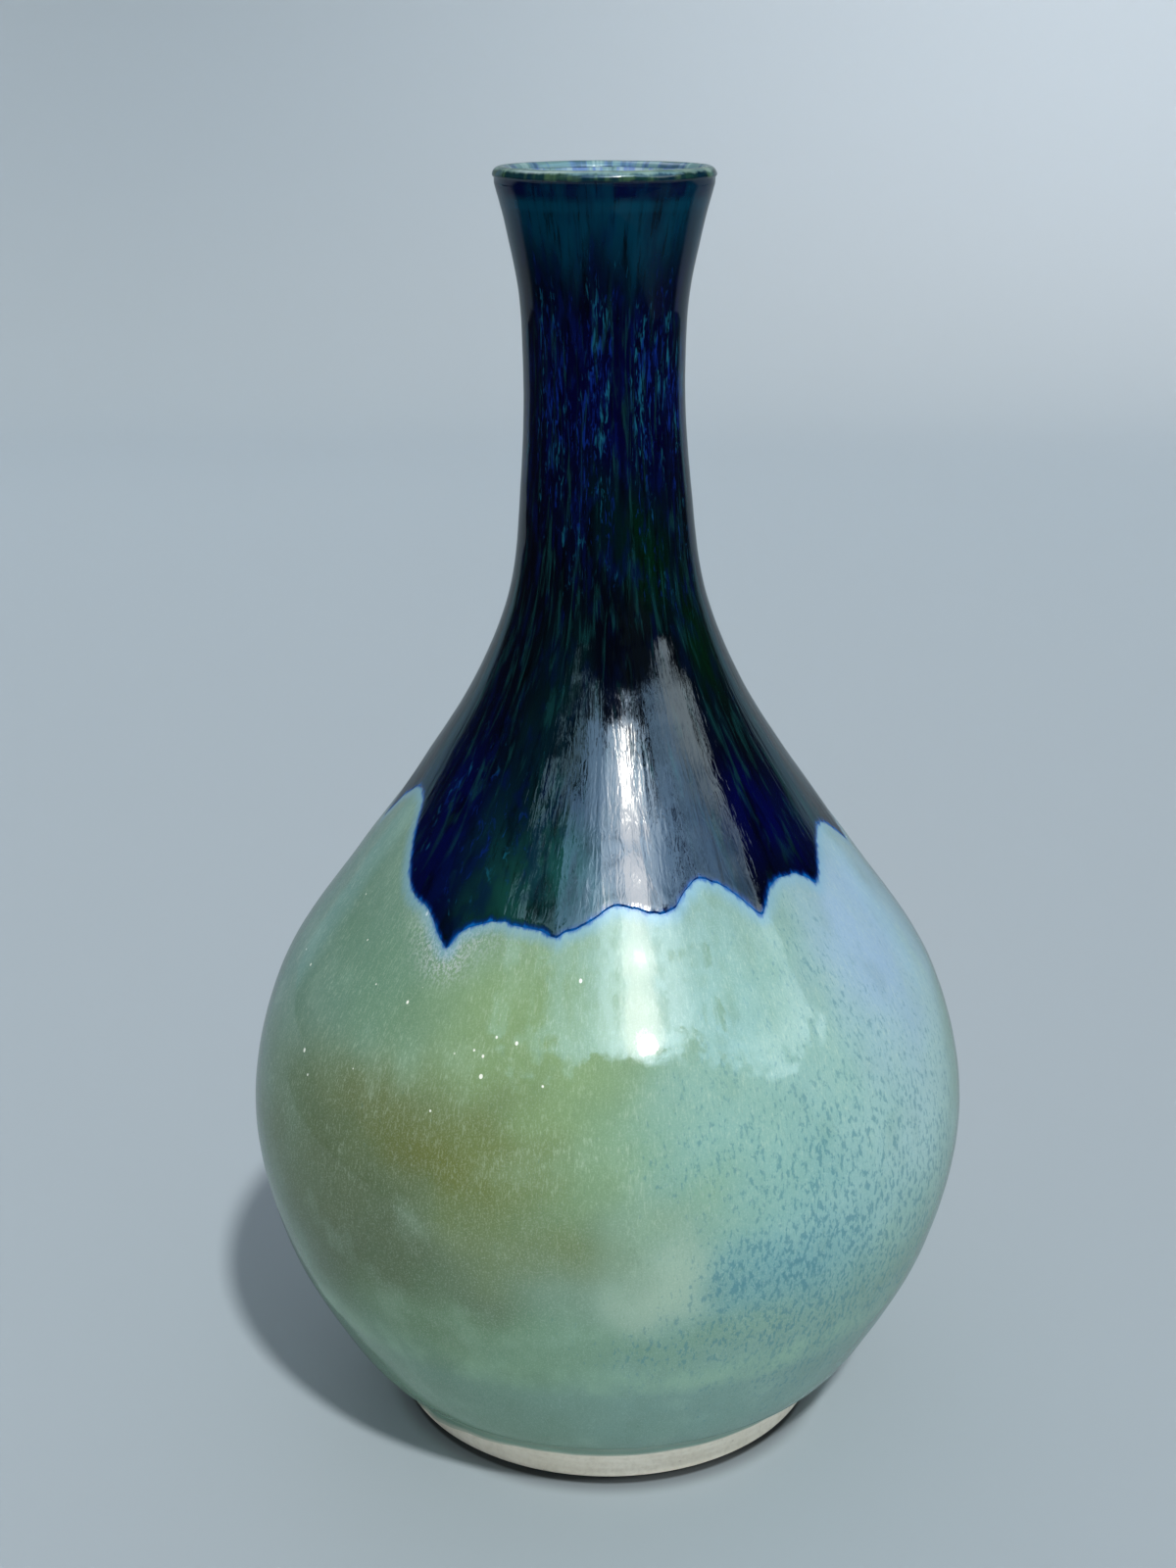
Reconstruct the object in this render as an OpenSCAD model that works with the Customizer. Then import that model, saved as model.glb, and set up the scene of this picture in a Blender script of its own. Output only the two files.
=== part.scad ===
// Wheel-thrown bottle-shaped bud vase: one thrown and trimmed clay body under four fired glaze coats.
// The origin is the centre of the foot, on the surface that the vase stands on. +Z runs up the axis.
// Azimuths are measured round +Z from -Y, which is the front, towards +X.

/* [Silhouette] */
// Finished height from the table to the top of the lip
total_h = 205; // [195:1:215]
// Finished diameter of the belly at its widest
belly_d = 119; // [112:1:126]
// Height of the widest part of the belly
belly_z = 55; // [50:1:60]
// Finished diameter of the neck at its narrowest
neck_d = 25; // [24.5:0.5:28]
// Height of the narrowest part of the neck
neck_z = 175; // [170:1:178]
// Finished diameter over the flared lip
lip_d = 33.6; // [32:0.2:37]

/* [Foot] */
// Diameter of the bare foot ring
foot_d = 73; // [68:1:78]
// Height of the crease where the belly meets the foot ring
foot_h = 5; // [4:0.5:6]
// Width of the foot ring at the table
ring_w = 6; // [5:0.5:8]
// Depth of the trimmed recess inside the foot ring
recess_h = 2.5; // [2:0.5:3]
// Radius on both lower edges of the foot ring
ring_edge_r = 1.5; // [1:0.25:1.5]

/* [Wall] */
// Thickness of the clay wall at the belly
wall = 4; // [3.5:0.25:5]
// Thickness of the clay floor over the recess
floor_t = 4.5; // [4:0.5:6]
// Clear diameter of the straight passage in the neck, inside the liner glaze
bore_d = 18; // [17:0.5:18.5]
// Height of the lower end of the straight passage
bore_z = 160; // [158:1:162]
// Length of the straight passage
bore_l = 25; // [20:1:25]
// Thickness of the clay at the rounded lip
lip_t = 2.1; // [1.8:0.1:2.4]

/* [Glaze] */
// Thickness of the pale base coat
base_t = 0.5; // [0.4:0.05:0.7]
// Thickness of the dark coat laid over the base coat
over_t = 0.4; // [0.3:0.05:0.6]
// Thickness of the liner coat inside
liner_t = 0.4; // [0.3:0.05:0.5]
// Thickness of the thin coat that is left on the lip
lip_coat_t = 0.25; // [0.2:0.05:0.3]
// Height of the lower edge of the base coat on the foot ring
base_edge_z = 4.2; // [3.6:0.1:4.4]
// Height that the dark coat would reach down to if it had not run
over_edge_z = 88; // [86:1:90]

/* [Hidden] */
$fn = 80;

steps = 5;              // chords between two stations of an outline
cut_reach = 80;         // radial cutters reach past the belly
foot_r = foot_d / 2;
clay_belly_r = belly_d / 2 - base_t;
clay_neck_r = neck_d / 2 - base_t - over_t;
clay_lip_r = lip_d / 2 - lip_coat_t;
bore_r = bore_d / 2 + liner_t;      // wall of the clay in the straight passage
inner_belly_r = clay_belly_r - wall;
floor_z = recess_h + floor_t;
lip_edge_r = lip_t / 2;
lip_z = total_h - lip_coat_t - lip_edge_r;  // centre of the rounded lip

// The pale base coat shows up to a row of arches, and the dark coat hangs between them as runs:
// azimuth of the arch, height of its top, radius of its curve.
arches = [
    [-20, 98.4, 12], [2.5, 101, 12], [23.5, 103.6, 9.5], [46.5, 101.1, 9.5], [71.5, 103.7, 13.5],
    [101, 101.5, 10], [122, 104, 9], [143.5, 100.5, 10.5], [166, 103.5, 9.5], [189, 99.5, 11],
    [212, 105, 9.5], [235, 101, 10.5], [258, 106, 10], [285.5, 109.6, 10.5],
];
arch_at_r = 40;         // distance from the axis of the surface that the arches are cut into

// The long straight stretch that leads down to the deepest run: azimuth and height of its two ends
slant = [[-66, 108.2], [-34, 93]];

// ---- curves -------------------------------------------------------------------------------

// Point on a cubic Hermite span from a to b, with end slopes ma and mb, at t from 0 to 1
function span(a, b, ma, mb, t) =
    a * (2 * pow(t, 3) - 3 * pow(t, 2) + 1) + ma * (pow(t, 3) - 2 * pow(t, 2) + t)
    + b * (3 * pow(t, 2) - 2 * pow(t, 3)) + mb * (pow(t, 3) - pow(t, 2));

// Slope at station i, per unit of chord, with unit directions first and last at the two ends
function slope(p, i, first, last) =
    i == 0 ? first : i == len(p) - 1 ? last
    : let (before = norm(p[i] - p[i - 1]), after = norm(p[i + 1] - p[i]))
      ((p[i] - p[i - 1]) / before * after + (p[i + 1] - p[i]) / after * before) / (before + after);

// Smooth curve through stations p, as a list of points
function curve(p, first, last) = [
    for (i = [0 : len(p) - 2], k = [0 : (i == len(p) - 2 ? steps : steps - 1)])
        let (chord = norm(p[i + 1] - p[i]))
        span(p[i], p[i + 1], slope(p, i, first, last) * chord, slope(p, i + 1, first, last) * chord,
             k / steps)
];

// Arc round a centre, in steps of at most 15 degrees
function arc(centre, r, from, to) =
    let (n = ceil(abs(to - from) / 15))
    [for (k = [0 : n]) let (a = from + (to - from) * k / n) centre + r * [cos(a), sin(a)]];

function unit(v) = v / norm(v);
function side(v) = [v.y, -v.x];     // to the right of a direction of travel
function reversed(p) = [for (i = [len(p) - 1 : -1 : 0]) p[i]];

// Unit normal at point i of an open outline, to the right of its direction of travel
function normal(p, i) =
    unit(side(unit(p[min(i + 1, len(p) - 1)] - p[i == len(p) - 1 ? i - 1 : i])
              + unit(p[i == 0 ? 1 : i] - p[max(i - 1, 0)])));

// The outline moved out along its normals, by one thickness for each point
function grown(p, t) = [for (i = [0 : len(p) - 1]) p[i] + normal(p, i) * t[i]];

// From 0 to 1 as x goes from a to b
function ramp(a, b, x) = let (t = max(0, min(1, (x - a) / (b - a)))) t * t * (3 - 2 * t);

// ---- outlines of the clay, as [radius, height] --------------------------------------------

// Shares of the way from foot to belly, and from neck to belly: [share of height, share of radius]
foot_to_belly = [[0.06, 0.161], [0.14, 0.335], [0.3, 0.557], [0.6, 0.856]];
belly_to_neck = [[0.167, 0.904], [0.333, 0.628], [0.475, 0.363], [0.583, 0.194], [0.708, 0.066], [0.85, 0.018]];
neck_to_lip = [[0.5, 0.195], [0.77, 0.6]];

flare = 13;             // lean of the outer wall at the lip, in degrees
inner_flare = 22;       // lean of the inner wall at the lip, in degrees
lip_centre = [clay_lip_r - lip_edge_r, lip_z];

function between(low, high, low_r, high_r, shares) =
    [for (s = shares) [low_r + (high_r - low_r) * s.y, low + (high - low) * s.x]];

outer_stations = concat(
    [[foot_r, foot_h / 2], [foot_r + 0.2, foot_h - 0.4]],
    between(foot_h, belly_z, foot_r, clay_belly_r, foot_to_belly),
    [[clay_belly_r, belly_z]],
    between(belly_z, neck_z, clay_neck_r, clay_belly_r, belly_to_neck),
    [[clay_neck_r, neck_z]],
    between(neck_z, lip_z, clay_neck_r, clay_lip_r, neck_to_lip),
    [lip_centre + lip_edge_r * [cos(flare), -sin(flare)]]
);
outer = curve(outer_stations, [0, 1], [sin(flare), cos(flare)]);

lip = arc(lip_centre, lip_edge_r, -flare, 180 - inner_flare);

// Up the inside, the wall is a little lower than outside, so that it stays thick where it slopes
inner_drop = 0.6 * wall;
belly_inside = concat(
    [[0, floor_z]],
    [for (s = [[0.27, 0.4], [0.52, 2], [0.67, 5.5], [0.81, 13], [0.94, 28]])
        [inner_belly_r * s.x, floor_z + s.y]],
    [[inner_belly_r, belly_z]],
    between(belly_z - inner_drop, neck_z - inner_drop, bore_r, inner_belly_r, belly_to_neck),
    [[bore_r, bore_z]]
);
mouth_inside = [
    [bore_r, bore_z + bore_l],
    [bore_r + 0.9, bore_z + bore_l + 7],
    lip_centre + lip_edge_r * [-cos(inner_flare), sin(inner_flare)],
];
inner = concat(
    curve(belly_inside, [1, 0], [0, 1]),
    curve(mouth_inside, [0, 1], [sin(inner_flare), cos(inner_flare)])
);

foot_outside = arc([foot_r - ring_edge_r, ring_edge_r], ring_edge_r, -90, 0);
foot_inside = concat(
    [[0, recess_h + 0.3], [foot_r - ring_w - recess_h, recess_h]],
    arc([foot_r - ring_w + ring_edge_r, ring_edge_r], ring_edge_r, 180, 270)
);

// ---- outlines of the coats ----------------------------------------------------------------

coat_end = lip_centre.y - lip_edge_r * sin(flare);
thin = lip_coat_t / 2;              // what each outer coat thins to at the lip

base_start = len([for (p = outer) if (p.y < base_edge_z) p]);
base_in = [for (i = [base_start : len(outer) - 1]) outer[i]];
base_out = grown(base_in, [for (p = base_in)
    thin + (base_t - thin) * ramp(base_edge_z - 1, base_edge_z + 5, p.y) * (1 - ramp(coat_end - 14, coat_end, p.y))]);

over_start = len([for (p = base_out) if (p.y < over_edge_z) p]);
over_in = [for (i = [over_start : len(base_out) - 1]) base_out[i]];
over_out = grown(over_in, [for (p = over_in) thin + (over_t - thin) * (1 - ramp(coat_end - 14, coat_end, p.y))]);

liner_in = reversed(inner);
liner_out = grown(liner_in, [for (p = liner_in)
    lip_coat_t + (liner_t - lip_coat_t) * (1 - ramp(coat_end - 14, coat_end, p.y))]);
// The liner meets the axis square, so its surface closes there
liner_axis = [0, floor_z + liner_t];

lip_out = concat([over_out[len(over_out) - 1]],
    [for (i = [1 : len(lip) - 2]) lip_centre + unit(lip[i] - lip_centre) * (lip_edge_r + lip_coat_t)],
    [liner_out[0]]);

// ---- sub-parts ----------------------------------------------------------------------------

// Ring between two outlines that run the same way
module coat(inside, outside) {
    rotate_extrude() polygon(concat(inside, reversed(outside)));
}

module clay_body() {
    color("antiquewhite") rotate_extrude()
        polygon(concat(foot_inside, foot_outside, outer, lip, reversed(inner)));
}

module base_glaze() {
    color("darkseagreen") coat(base_in, base_out);
}

// Wedge that opens outwards from the axis, as wide as the given angle on each side of azimuth a,
// with its top at the height z
module wedge(a, half, z) {
    rotate([0, 0, a - 90]) linear_extrude(height = z)
        polygon([[0, 0], [cut_reach, -cut_reach * tan(half)], [cut_reach, cut_reach * tan(half)]]);
}

// Everything below one arch, cut radially outwards from the axis
module below_arch(a) {
    wedge(a[0], asin(0.95 * a[2] / arch_at_r), a[1] - a[2]);
    rotate([0, 0, a[0] - 90]) translate([0, 0, a[1] - a[2]]) rotate([0, 90, 0])
        cylinder(h = cut_reach, r = a[2], $fn = 48);
}

// Everything below the slanted stretch
module below_slant(ends) {
    middle = (ends[0] + ends[1]) / 2;
    half = (ends[1].x - ends[0].x) / 2;
    tilt = atan((ends[0].y - ends[1].y) / 2 / (arch_at_r * sin(half)));
    intersection() {
        wedge(middle.x, half, total_h);
        rotate([0, 0, middle.x - 90]) translate([0, 0, middle.y]) rotate([-tilt, 0, 0])
            translate([0, -cut_reach, -2 * cut_reach]) cube([cut_reach, 2 * cut_reach, 2 * cut_reach]);
    }
}

module cobalt_glaze() {
    color("midnightblue") difference() {
        coat(over_in, over_out);
        for (a = arches) below_arch(a);
        below_slant(slant);
    }
}

module liner_glaze() {
    color("lightsteelblue") rotate_extrude()
        polygon(concat(liner_in, [liner_axis], reversed([for (i = [0 : len(liner_out) - 2]) liner_out[i]])));
}

module lip_glaze() {
    color("palegreen") coat(lip, lip_out);
}

clay_body();
base_glaze();
cobalt_glaze();
liner_glaze();
lip_glaze();
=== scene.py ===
"""Studio scene of a ceramic bud vase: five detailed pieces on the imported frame, a floor, lights and a camera.

Shapes are worked out in millimetres, as in the CAD model, and scaled to metres when a mesh is made.
Azimuths are in degrees, measured round +Z from the front (-Y) towards +X.
"""

import math

import bpy
import numpy as np
from mathutils import Matrix, Vector, kdtree, noise


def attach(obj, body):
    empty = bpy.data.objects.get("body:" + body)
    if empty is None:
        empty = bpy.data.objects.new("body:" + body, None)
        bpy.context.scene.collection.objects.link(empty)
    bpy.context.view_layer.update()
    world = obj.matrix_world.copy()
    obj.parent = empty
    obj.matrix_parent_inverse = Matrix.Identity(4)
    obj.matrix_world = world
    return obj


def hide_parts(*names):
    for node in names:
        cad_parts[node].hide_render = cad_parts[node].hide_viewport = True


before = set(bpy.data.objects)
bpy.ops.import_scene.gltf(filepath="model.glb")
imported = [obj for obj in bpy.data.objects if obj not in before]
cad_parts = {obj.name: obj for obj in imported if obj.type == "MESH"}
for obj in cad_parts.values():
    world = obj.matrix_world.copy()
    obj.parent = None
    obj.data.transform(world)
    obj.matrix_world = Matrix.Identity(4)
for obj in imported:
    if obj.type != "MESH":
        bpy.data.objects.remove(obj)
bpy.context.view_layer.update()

MM = 0.001

# ---- sizes, the same as in the CAD model ----------------------------------------------------

TOTAL_H = 205.0
FOOT_R = 36.5
FOOT_H = 5.0
RING_W = 6.0
RECESS_H = 2.5
RING_EDGE_R = 1.5
BELLY_Z = 55.0
NECK_Z = 175.0
WALL = 4.0
FLOOR_Z = 7.0
BORE_Z = 160.0
BORE_L = 25.0
LIP_T = 2.1
BASE_T = 0.5
OVER_T = 0.4
LINER_T = 0.4
LIP_COAT_T = 0.25

CLAY_BELLY_R = 59.5 - BASE_T
CLAY_NECK_R = 12.5 - BASE_T - OVER_T
CLAY_LIP_R = 16.8 - LIP_COAT_T
BORE_R = 9.0 + LINER_T
INNER_BELLY_R = CLAY_BELLY_R - WALL
LIP_EDGE_R = LIP_T / 2
LIP_CENTRE = np.array([CLAY_LIP_R - LIP_EDGE_R, TOTAL_H - LIP_COAT_T - LIP_EDGE_R])
FLARE = 13.0
INNER_FLARE = 22.0
THIN = LIP_COAT_T / 2           # what the outer coats thin to at the lip
TUCK = 14.0                     # angle on the lip down to which the lip coat covers them
EDGE_TURN = -52                 # angle on the foot edge where the skin of the clay starts
HOLLOW_TOP = 8.3                # height up to which the soft hollow above the foot reaches
RING_PITCH = 5.5                # climb of the throwing rings in one turn

# Shares of the way in height and in radius
FOOT_TO_BELLY = [(0.06, 0.161), (0.14, 0.335), (0.3, 0.557), (0.6, 0.856)]
BELLY_TO_NECK = [(0.167, 0.904), (0.333, 0.628), (0.475, 0.363),
                 (0.583, 0.194), (0.708, 0.066), (0.85, 0.018)]
NECK_TO_LIP = [(0.5, 0.195), (0.77, 0.6)]

# ---- lines that the glazes follow round the vase --------------------------------------------

# Lower edge of the dark coat, one list for each pale arch: azimuth and height from run to run
ARCHES = [
    [(-34, 93), (-32.5, 95.5), (-29.5, 97), (-22, 98), (-14.5, 97.5), (-10.5, 97)],
    [(-10.5, 97), (-5, 98.5), (4, 101), (9, 100), (12, 99.5)],
    [(12, 99.5), (15, 100), (18.5, 102), (23, 103.5), (28.5, 102), (36, 97.5)],
    [(36, 97.5), (38, 98.5), (41, 100.5), (46.5, 101), (53, 100), (56, 98.5)],
    [(56, 98.5), (61, 100.5), (66, 102.5), (73, 104), (81, 102.5), (88, 98.5)],
    [(88, 98.5), (92, 100.5), (99, 101.5), (106, 100.5), (112, 96.5)],
    [(112, 96.5), (115, 100), (122, 103.5), (129, 101.5), (133, 99)],
    [(133, 99), (137, 100), (145, 101), (152, 98.5), (155, 94.5)],
    [(155, 94.5), (158, 99.5), (166, 103), (173, 101.5), (178, 98)],
    [(178, 98), (184, 99.5), (192, 99), (199, 96), (201, 93.5)],
    [(201, 93.5), (204, 99), (212, 104), (219, 102.5), (223, 99.5)],
    [(223, 99.5), (228, 101), (235, 101), (243, 99), (246.5, 95.5)],
    [(246.5, 95.5), (250, 101), (258, 106), (266, 104.5), (270, 102)],
    [(270, 102), (276, 107), (286, 109.5), (293, 108.5), (300, 104),
     (309, 99), (319, 96.5), (324, 94), (326, 93)],
]

# Lower edge of the base coat on the foot ring: azimuth and height
FOOT_LINE = [(-180, 1.6), (-150, 2.8), (-120, 1.4), (-90, 0.6), (-62, 0.6), (-42, 2.6), (-22, 5.2),
             (6, 5.9), (26, 5.6), (44, 4.8), (63, 3.6), (90, 2.0), (118, 3.2), (150, 1.9), (180, 1.6)]


# ---- outlines, as arrays of [radius, height] ------------------------------------------------

def bend(points, first, last, steps):
    """Smooth curve through points, with the unit directions first and last at its two ends."""
    points = [np.array(p, float) for p in points]
    slopes = [np.array(first, float)]
    for before, here, after in zip(points, points[1:], points[2:]):
        back, ahead = np.linalg.norm(here - before), np.linalg.norm(after - here)
        slopes.append(((here - before) / back * ahead + (after - here) / ahead * back) / (back + ahead))
    slopes.append(np.array(last, float))
    out = []
    for a, b, slope_a, slope_b in zip(points, points[1:], slopes, slopes[1:]):
        chord = np.linalg.norm(b - a)
        for t in np.arange(steps) / steps:
            out.append(a * (2 * t**3 - 3 * t**2 + 1) + slope_a * chord * (t**3 - 2 * t**2 + t)
                       + b * (3 * t**2 - 2 * t**3) + slope_b * chord * (t**3 - t**2))
    return np.array(out + [points[-1]])


def between(low, high, low_r, high_r, shares):
    """Points at shares of the way in radius and height between two stations."""
    return [(low_r + (high_r - low_r) * r, low + (high - low) * z) for z, r in shares]


def arc(centre, radius, start, end, count=12):
    """Points of a circle's arc, from one angle to another."""
    angle = np.radians(np.linspace(start, end, count + 1))
    return np.array(centre) + radius * np.stack([np.cos(angle), np.sin(angle)], 1)


def direction(angle):
    return np.array([math.cos(math.radians(angle)), math.sin(math.radians(angle))])


def lengths(path):
    """Distance along the path to each of its points."""
    return np.concatenate([[0], np.cumsum(np.linalg.norm(np.diff(path, axis=0), axis=1))])


def normals(path):
    """Unit normals to the right of the direction of travel."""
    along = np.gradient(path, axis=0)
    right = np.stack([along[:, 1], -along[:, 0]], 1)
    return right / np.linalg.norm(right, axis=1)[:, None]


def ramp(low, high, x):
    """From 0 to 1, smoothly, as x goes from low to high."""
    t = np.clip((np.asarray(x, float) - low) / (high - low), 0, 1)
    return t * t * (3 - 2 * t)


def outer_clay():
    stations = (
        [(FOOT_R, FOOT_H / 2), (FOOT_R + 0.2, FOOT_H - 0.4)]
        + between(FOOT_H, BELLY_Z, FOOT_R, CLAY_BELLY_R, FOOT_TO_BELLY)
        + [(CLAY_BELLY_R, BELLY_Z)]
        + between(BELLY_Z, NECK_Z, CLAY_NECK_R, CLAY_BELLY_R, BELLY_TO_NECK)
        + [(CLAY_NECK_R, NECK_Z)]
        + between(NECK_Z, LIP_CENTRE[1], CLAY_NECK_R, CLAY_LIP_R, NECK_TO_LIP)
        + [LIP_CENTRE + LIP_EDGE_R * direction(-FLARE)]
    )
    return bend(stations, (0, 1), direction(90 - FLARE), 40)


def inner_clay():
    drop = 0.6 * WALL
    shares = [(0.27, 0.4), (0.52, 2), (0.67, 5.5), (0.81, 13), (0.94, 28)]
    belly = (
        [(0, FLOOR_Z)]
        + [(INNER_BELLY_R * r, FLOOR_Z + z) for r, z in shares]
        + [(INNER_BELLY_R, BELLY_Z)]
        + between(BELLY_Z - drop, NECK_Z - drop, BORE_R, INNER_BELLY_R, BELLY_TO_NECK)
        + [(BORE_R, BORE_Z)]
    )
    mouth = [(BORE_R, BORE_Z + BORE_L), (BORE_R + 0.9, BORE_Z + BORE_L + 7),
             LIP_CENTRE + LIP_EDGE_R * direction(180 - INNER_FLARE)]
    return np.concatenate([bend(belly, (1, 0), (0, 1), 20),
                           bend(mouth, (0, 1), direction(90 - INNER_FLARE), 20)])


OUTER = outer_clay()
INNER = inner_clay()
LIP_FOOT_Z = OUTER[-1, 1]       # height where the rounded lip starts
OUTER = np.concatenate([OUTER, arc(LIP_CENTRE, LIP_EDGE_R, -FLARE, TUCK, 8)[1:]])


def coat_thickness(z, full):
    """Thickness of an outer coat, which thins over the last 14 mm to the lip and dives under the lip coat."""
    thinned = THIN + (full - THIN) * (1 - ramp(LIP_FOOT_Z - 14, LIP_FOOT_Z, z))
    return thinned * (1 - 0.6 * ramp(LIP_FOOT_Z - 0.1, OUTER[-1, 1], z))


# ---- surfaces of revolution with handmade relief --------------------------------------------

def outside():
    """Outside of the clay from the rounded foot edge up, with a soft hollow where foot and body meet."""
    edge = arc((FOOT_R - RING_EDGE_R, RING_EDGE_R), RING_EDGE_R, EDGE_TURN, 0, 8)
    body = OUTER[OUTER[:, 1] > HOLLOW_TOP]
    slope = (body[1] - body[0]) / np.linalg.norm(body[1] - body[0])
    stations = [edge[-1], (FOOT_R + 0.1, 2.8), (FOOT_R + 0.55, 4.2), (FOOT_R + 1.75, 6.0), body[0]]
    return np.concatenate([edge[:-1], bend(stations, (0, 1), slope, 8)[:-1], body])


SKIN = outside()
SKIN_RUN = lengths(SKIN)
SKIN_OUT = normals(SKIN)


def skin(run, lift):
    """Point [radius, height] at a distance along the outside of the clay, lifted off it."""
    at = [np.interp(run, SKIN_RUN, SKIN[:, k]) for k in (0, 1)]
    out = [np.interp(run, SKIN_RUN, SKIN_OUT[:, k]) for k in (0, 1)]
    return np.stack([at[0] + out[0] * lift, at[1] + out[1] * lift], -1)


def run_at(z):
    """Distance along the outside of the clay at a height."""
    return np.interp(z, SKIN[:, 1], SKIN_RUN)


def wander(phi, z, wide, tall, seed):
    """Smooth noise over the vase, about -1 to 1, in patches so many mm wide at the belly and so tall."""
    phi, z = np.broadcast_arrays(np.radians(phi), z)
    x, y = np.sin(phi) * 50 / wide, np.cos(phi) * 50 / wide
    points = np.stack([x, y, z / tall + seed * 17.3], -1).reshape(-1, 3)
    return np.array([noise.noise(Vector(p)) for p in points]).reshape(phi.shape) * 1.6


def relief(phi, z):
    """Throwing rings, slow unevenness and a slightly fuller front of the shoulder, in mm."""
    climb = z + RING_PITCH * phi / 360
    rings = 0.008 * np.sin(climb * 2 * math.pi / RING_PITCH + 1.5 * wander(phi, z, 60, 9, 1))
    uneven = 0.09 * wander(phi, z, 60, 45, 2) + 0.012 * wander(phi, z, 14, 16, 3)
    ridge = 0.07 * np.exp(-((z - 30.5 - 0.6 * wander(phi, z, 60, 40, 4)) / 3.4) ** 2)
    full_shoulder = 0.3 * np.exp(-((z - 123) / 8) ** 2 - ((phi - 5) / 40) ** 2)
    return (rings + uneven) * ramp(3, 14, z) * (1 - ramp(190, 203, z)) + ridge + full_shoulder


def lean(z):
    """How far the axis leans towards +X at a height: the neck was pulled up very slightly askew."""
    return -0.4 * ramp(135, 180, z)


def azimuths(count):
    return np.arange(count) * 360.0 / count - 180.0


def spin(name, rings, closed=False, pole_first=False, pole_last=False):
    """Object made of rings round the axis. rings[row, column] is [radius, height], columns by azimuth."""
    rows, columns = rings.shape[:2]
    angle = np.radians(azimuths(columns))
    radius, z = rings[..., 0], rings[..., 1]
    points = np.stack([radius * np.sin(angle) + lean(z), -radius * np.cos(angle), z], -1).reshape(-1, 3)
    a = np.arange(columns)
    b = np.roll(a, -1)
    faces = []
    for row in range(rows if closed else rows - 1):
        low, high = row * columns, (row + 1) % rows * columns
        faces += np.stack([low + a, low + b, high + b, high + a], 1).tolist()
    for wanted, row, turn in ((pole_first, 0, -1), (pole_last, rows - 1, 1)):
        if wanted:
            pole = len(points)
            points = np.vstack([points, [0, 0, z[row].mean()]])
            pair = (a, b) if turn > 0 else (b, a)
            faces += np.stack([row * columns + pair[0], row * columns + pair[1],
                               np.full(columns, pole)], 1).tolist()
    mesh = bpy.data.meshes.new(name)
    mesh.from_pydata((points * MM).tolist(), [], faces)
    mesh.shade_smooth()
    piece = bpy.data.objects.new(name, mesh)
    bpy.context.collection.objects.link(piece)
    return piece


def paint(piece, name, values):
    """Stores one number, or one colour or vector, for each vertex. Poles take the first value."""
    kind, key = ("FLOAT", "value") if values.ndim == 2 else ("FLOAT_VECTOR", "vector")
    flat = values.reshape(-1) if values.ndim == 2 else values.reshape(-1, 3)
    spare = len(piece.data.vertices) - len(flat)
    flat = np.concatenate([flat, np.repeat(flat[:1], spare, axis=0)])
    piece.data.attributes.new(name, kind, "POINT").data.foreach_set(key, flat.reshape(-1).astype(np.float32))


def flow(phi, run):
    """Coordinates for streaks that run down the vase: round the axis, round the axis, along the wall."""
    phi, run = np.broadcast_arrays(np.radians(phi), run)
    return np.stack([np.sin(phi), np.cos(phi), run / 50], -1)


# ---- the lower edge of the dark coat --------------------------------------------------------

def border_line():
    """Azimuths and heights of the lower edge of the dark coat, once round."""
    line = []
    for stations in ARCHES:
        first = np.subtract(stations[1], stations[0])
        last = np.subtract(stations[-1], stations[-2])
        line.append(bend(stations, first / np.linalg.norm(first), last / np.linalg.norm(last), 16)[:-1])
    line = np.concatenate(line)
    line[:, 0] = (line[:, 0] + 180) % 360 - 180
    return line[np.argsort(line[:, 0])]


BORDER = border_line()


def border_z(phi):
    """Height of the dark coat's lower edge, with its small raggedness."""
    ragged = 0.22 * wander(phi, 0 * phi, 3.5, 1, 5) + 0.12 * wander(phi, 0 * phi, 1.4, 1, 6)
    return np.interp(phi, BORDER[:, 0], BORDER[:, 1], period=360) + ragged


def place(phi, z):
    """Position on the outside of the vase."""
    radius = skin(run_at(z), BASE_T)[..., 0]
    angle = np.radians(phi)
    return np.stack([radius * np.sin(angle), -radius * np.cos(angle), z + 0 * phi], -1)


def border_tree():
    """Search tree of points along the dark coat's lower edge."""
    phi = np.linspace(-180, 180, 3601)[:-1]
    points = place(phi, border_z(phi))
    tree = kdtree.KDTree(len(points))
    for i, p in enumerate(points):
        tree.insert(p, i)
    tree.balance()
    return tree


BORDER_TREE = border_tree()
RUN_ENDS = place(np.array([s[0][0] for s in ARCHES], float), np.array([s[0][1] for s in ARCHES], float))
DEEP_RUN_ENDS = [end for end in RUN_ENDS if end[2] < 95]


def border_distance(phi, z):
    """Distance to the lower edge of the dark coat in mm, above 0 in the dark coat and below 0 outside it."""
    phi, z = np.broadcast_arrays(phi, z)
    side = np.sign(z - border_z(phi))
    far = np.full(z.shape, 20.0)
    near = (z > 70) & (z < 130)
    far[near] = [BORDER_TREE.find(p)[2] for p in place(phi[near], z[near])]
    return far * side


def run_end_distance(phi, z, ends):
    """Distance to the nearest of some run ends of the dark coat, in mm."""
    points = place(*np.broadcast_arrays(phi, z))
    return np.min([np.linalg.norm(points - end, axis=-1) for end in ends], axis=0)


# ---- colours laid on as soft patches --------------------------------------------------------

def linear(colour):
    """Linear light from display values of 0 to 255."""
    c = np.array(colour, float) / 255
    return np.where(c <= 0.04045, c / 12.92, ((c + 0.055) / 1.055) ** 2.4)


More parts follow.
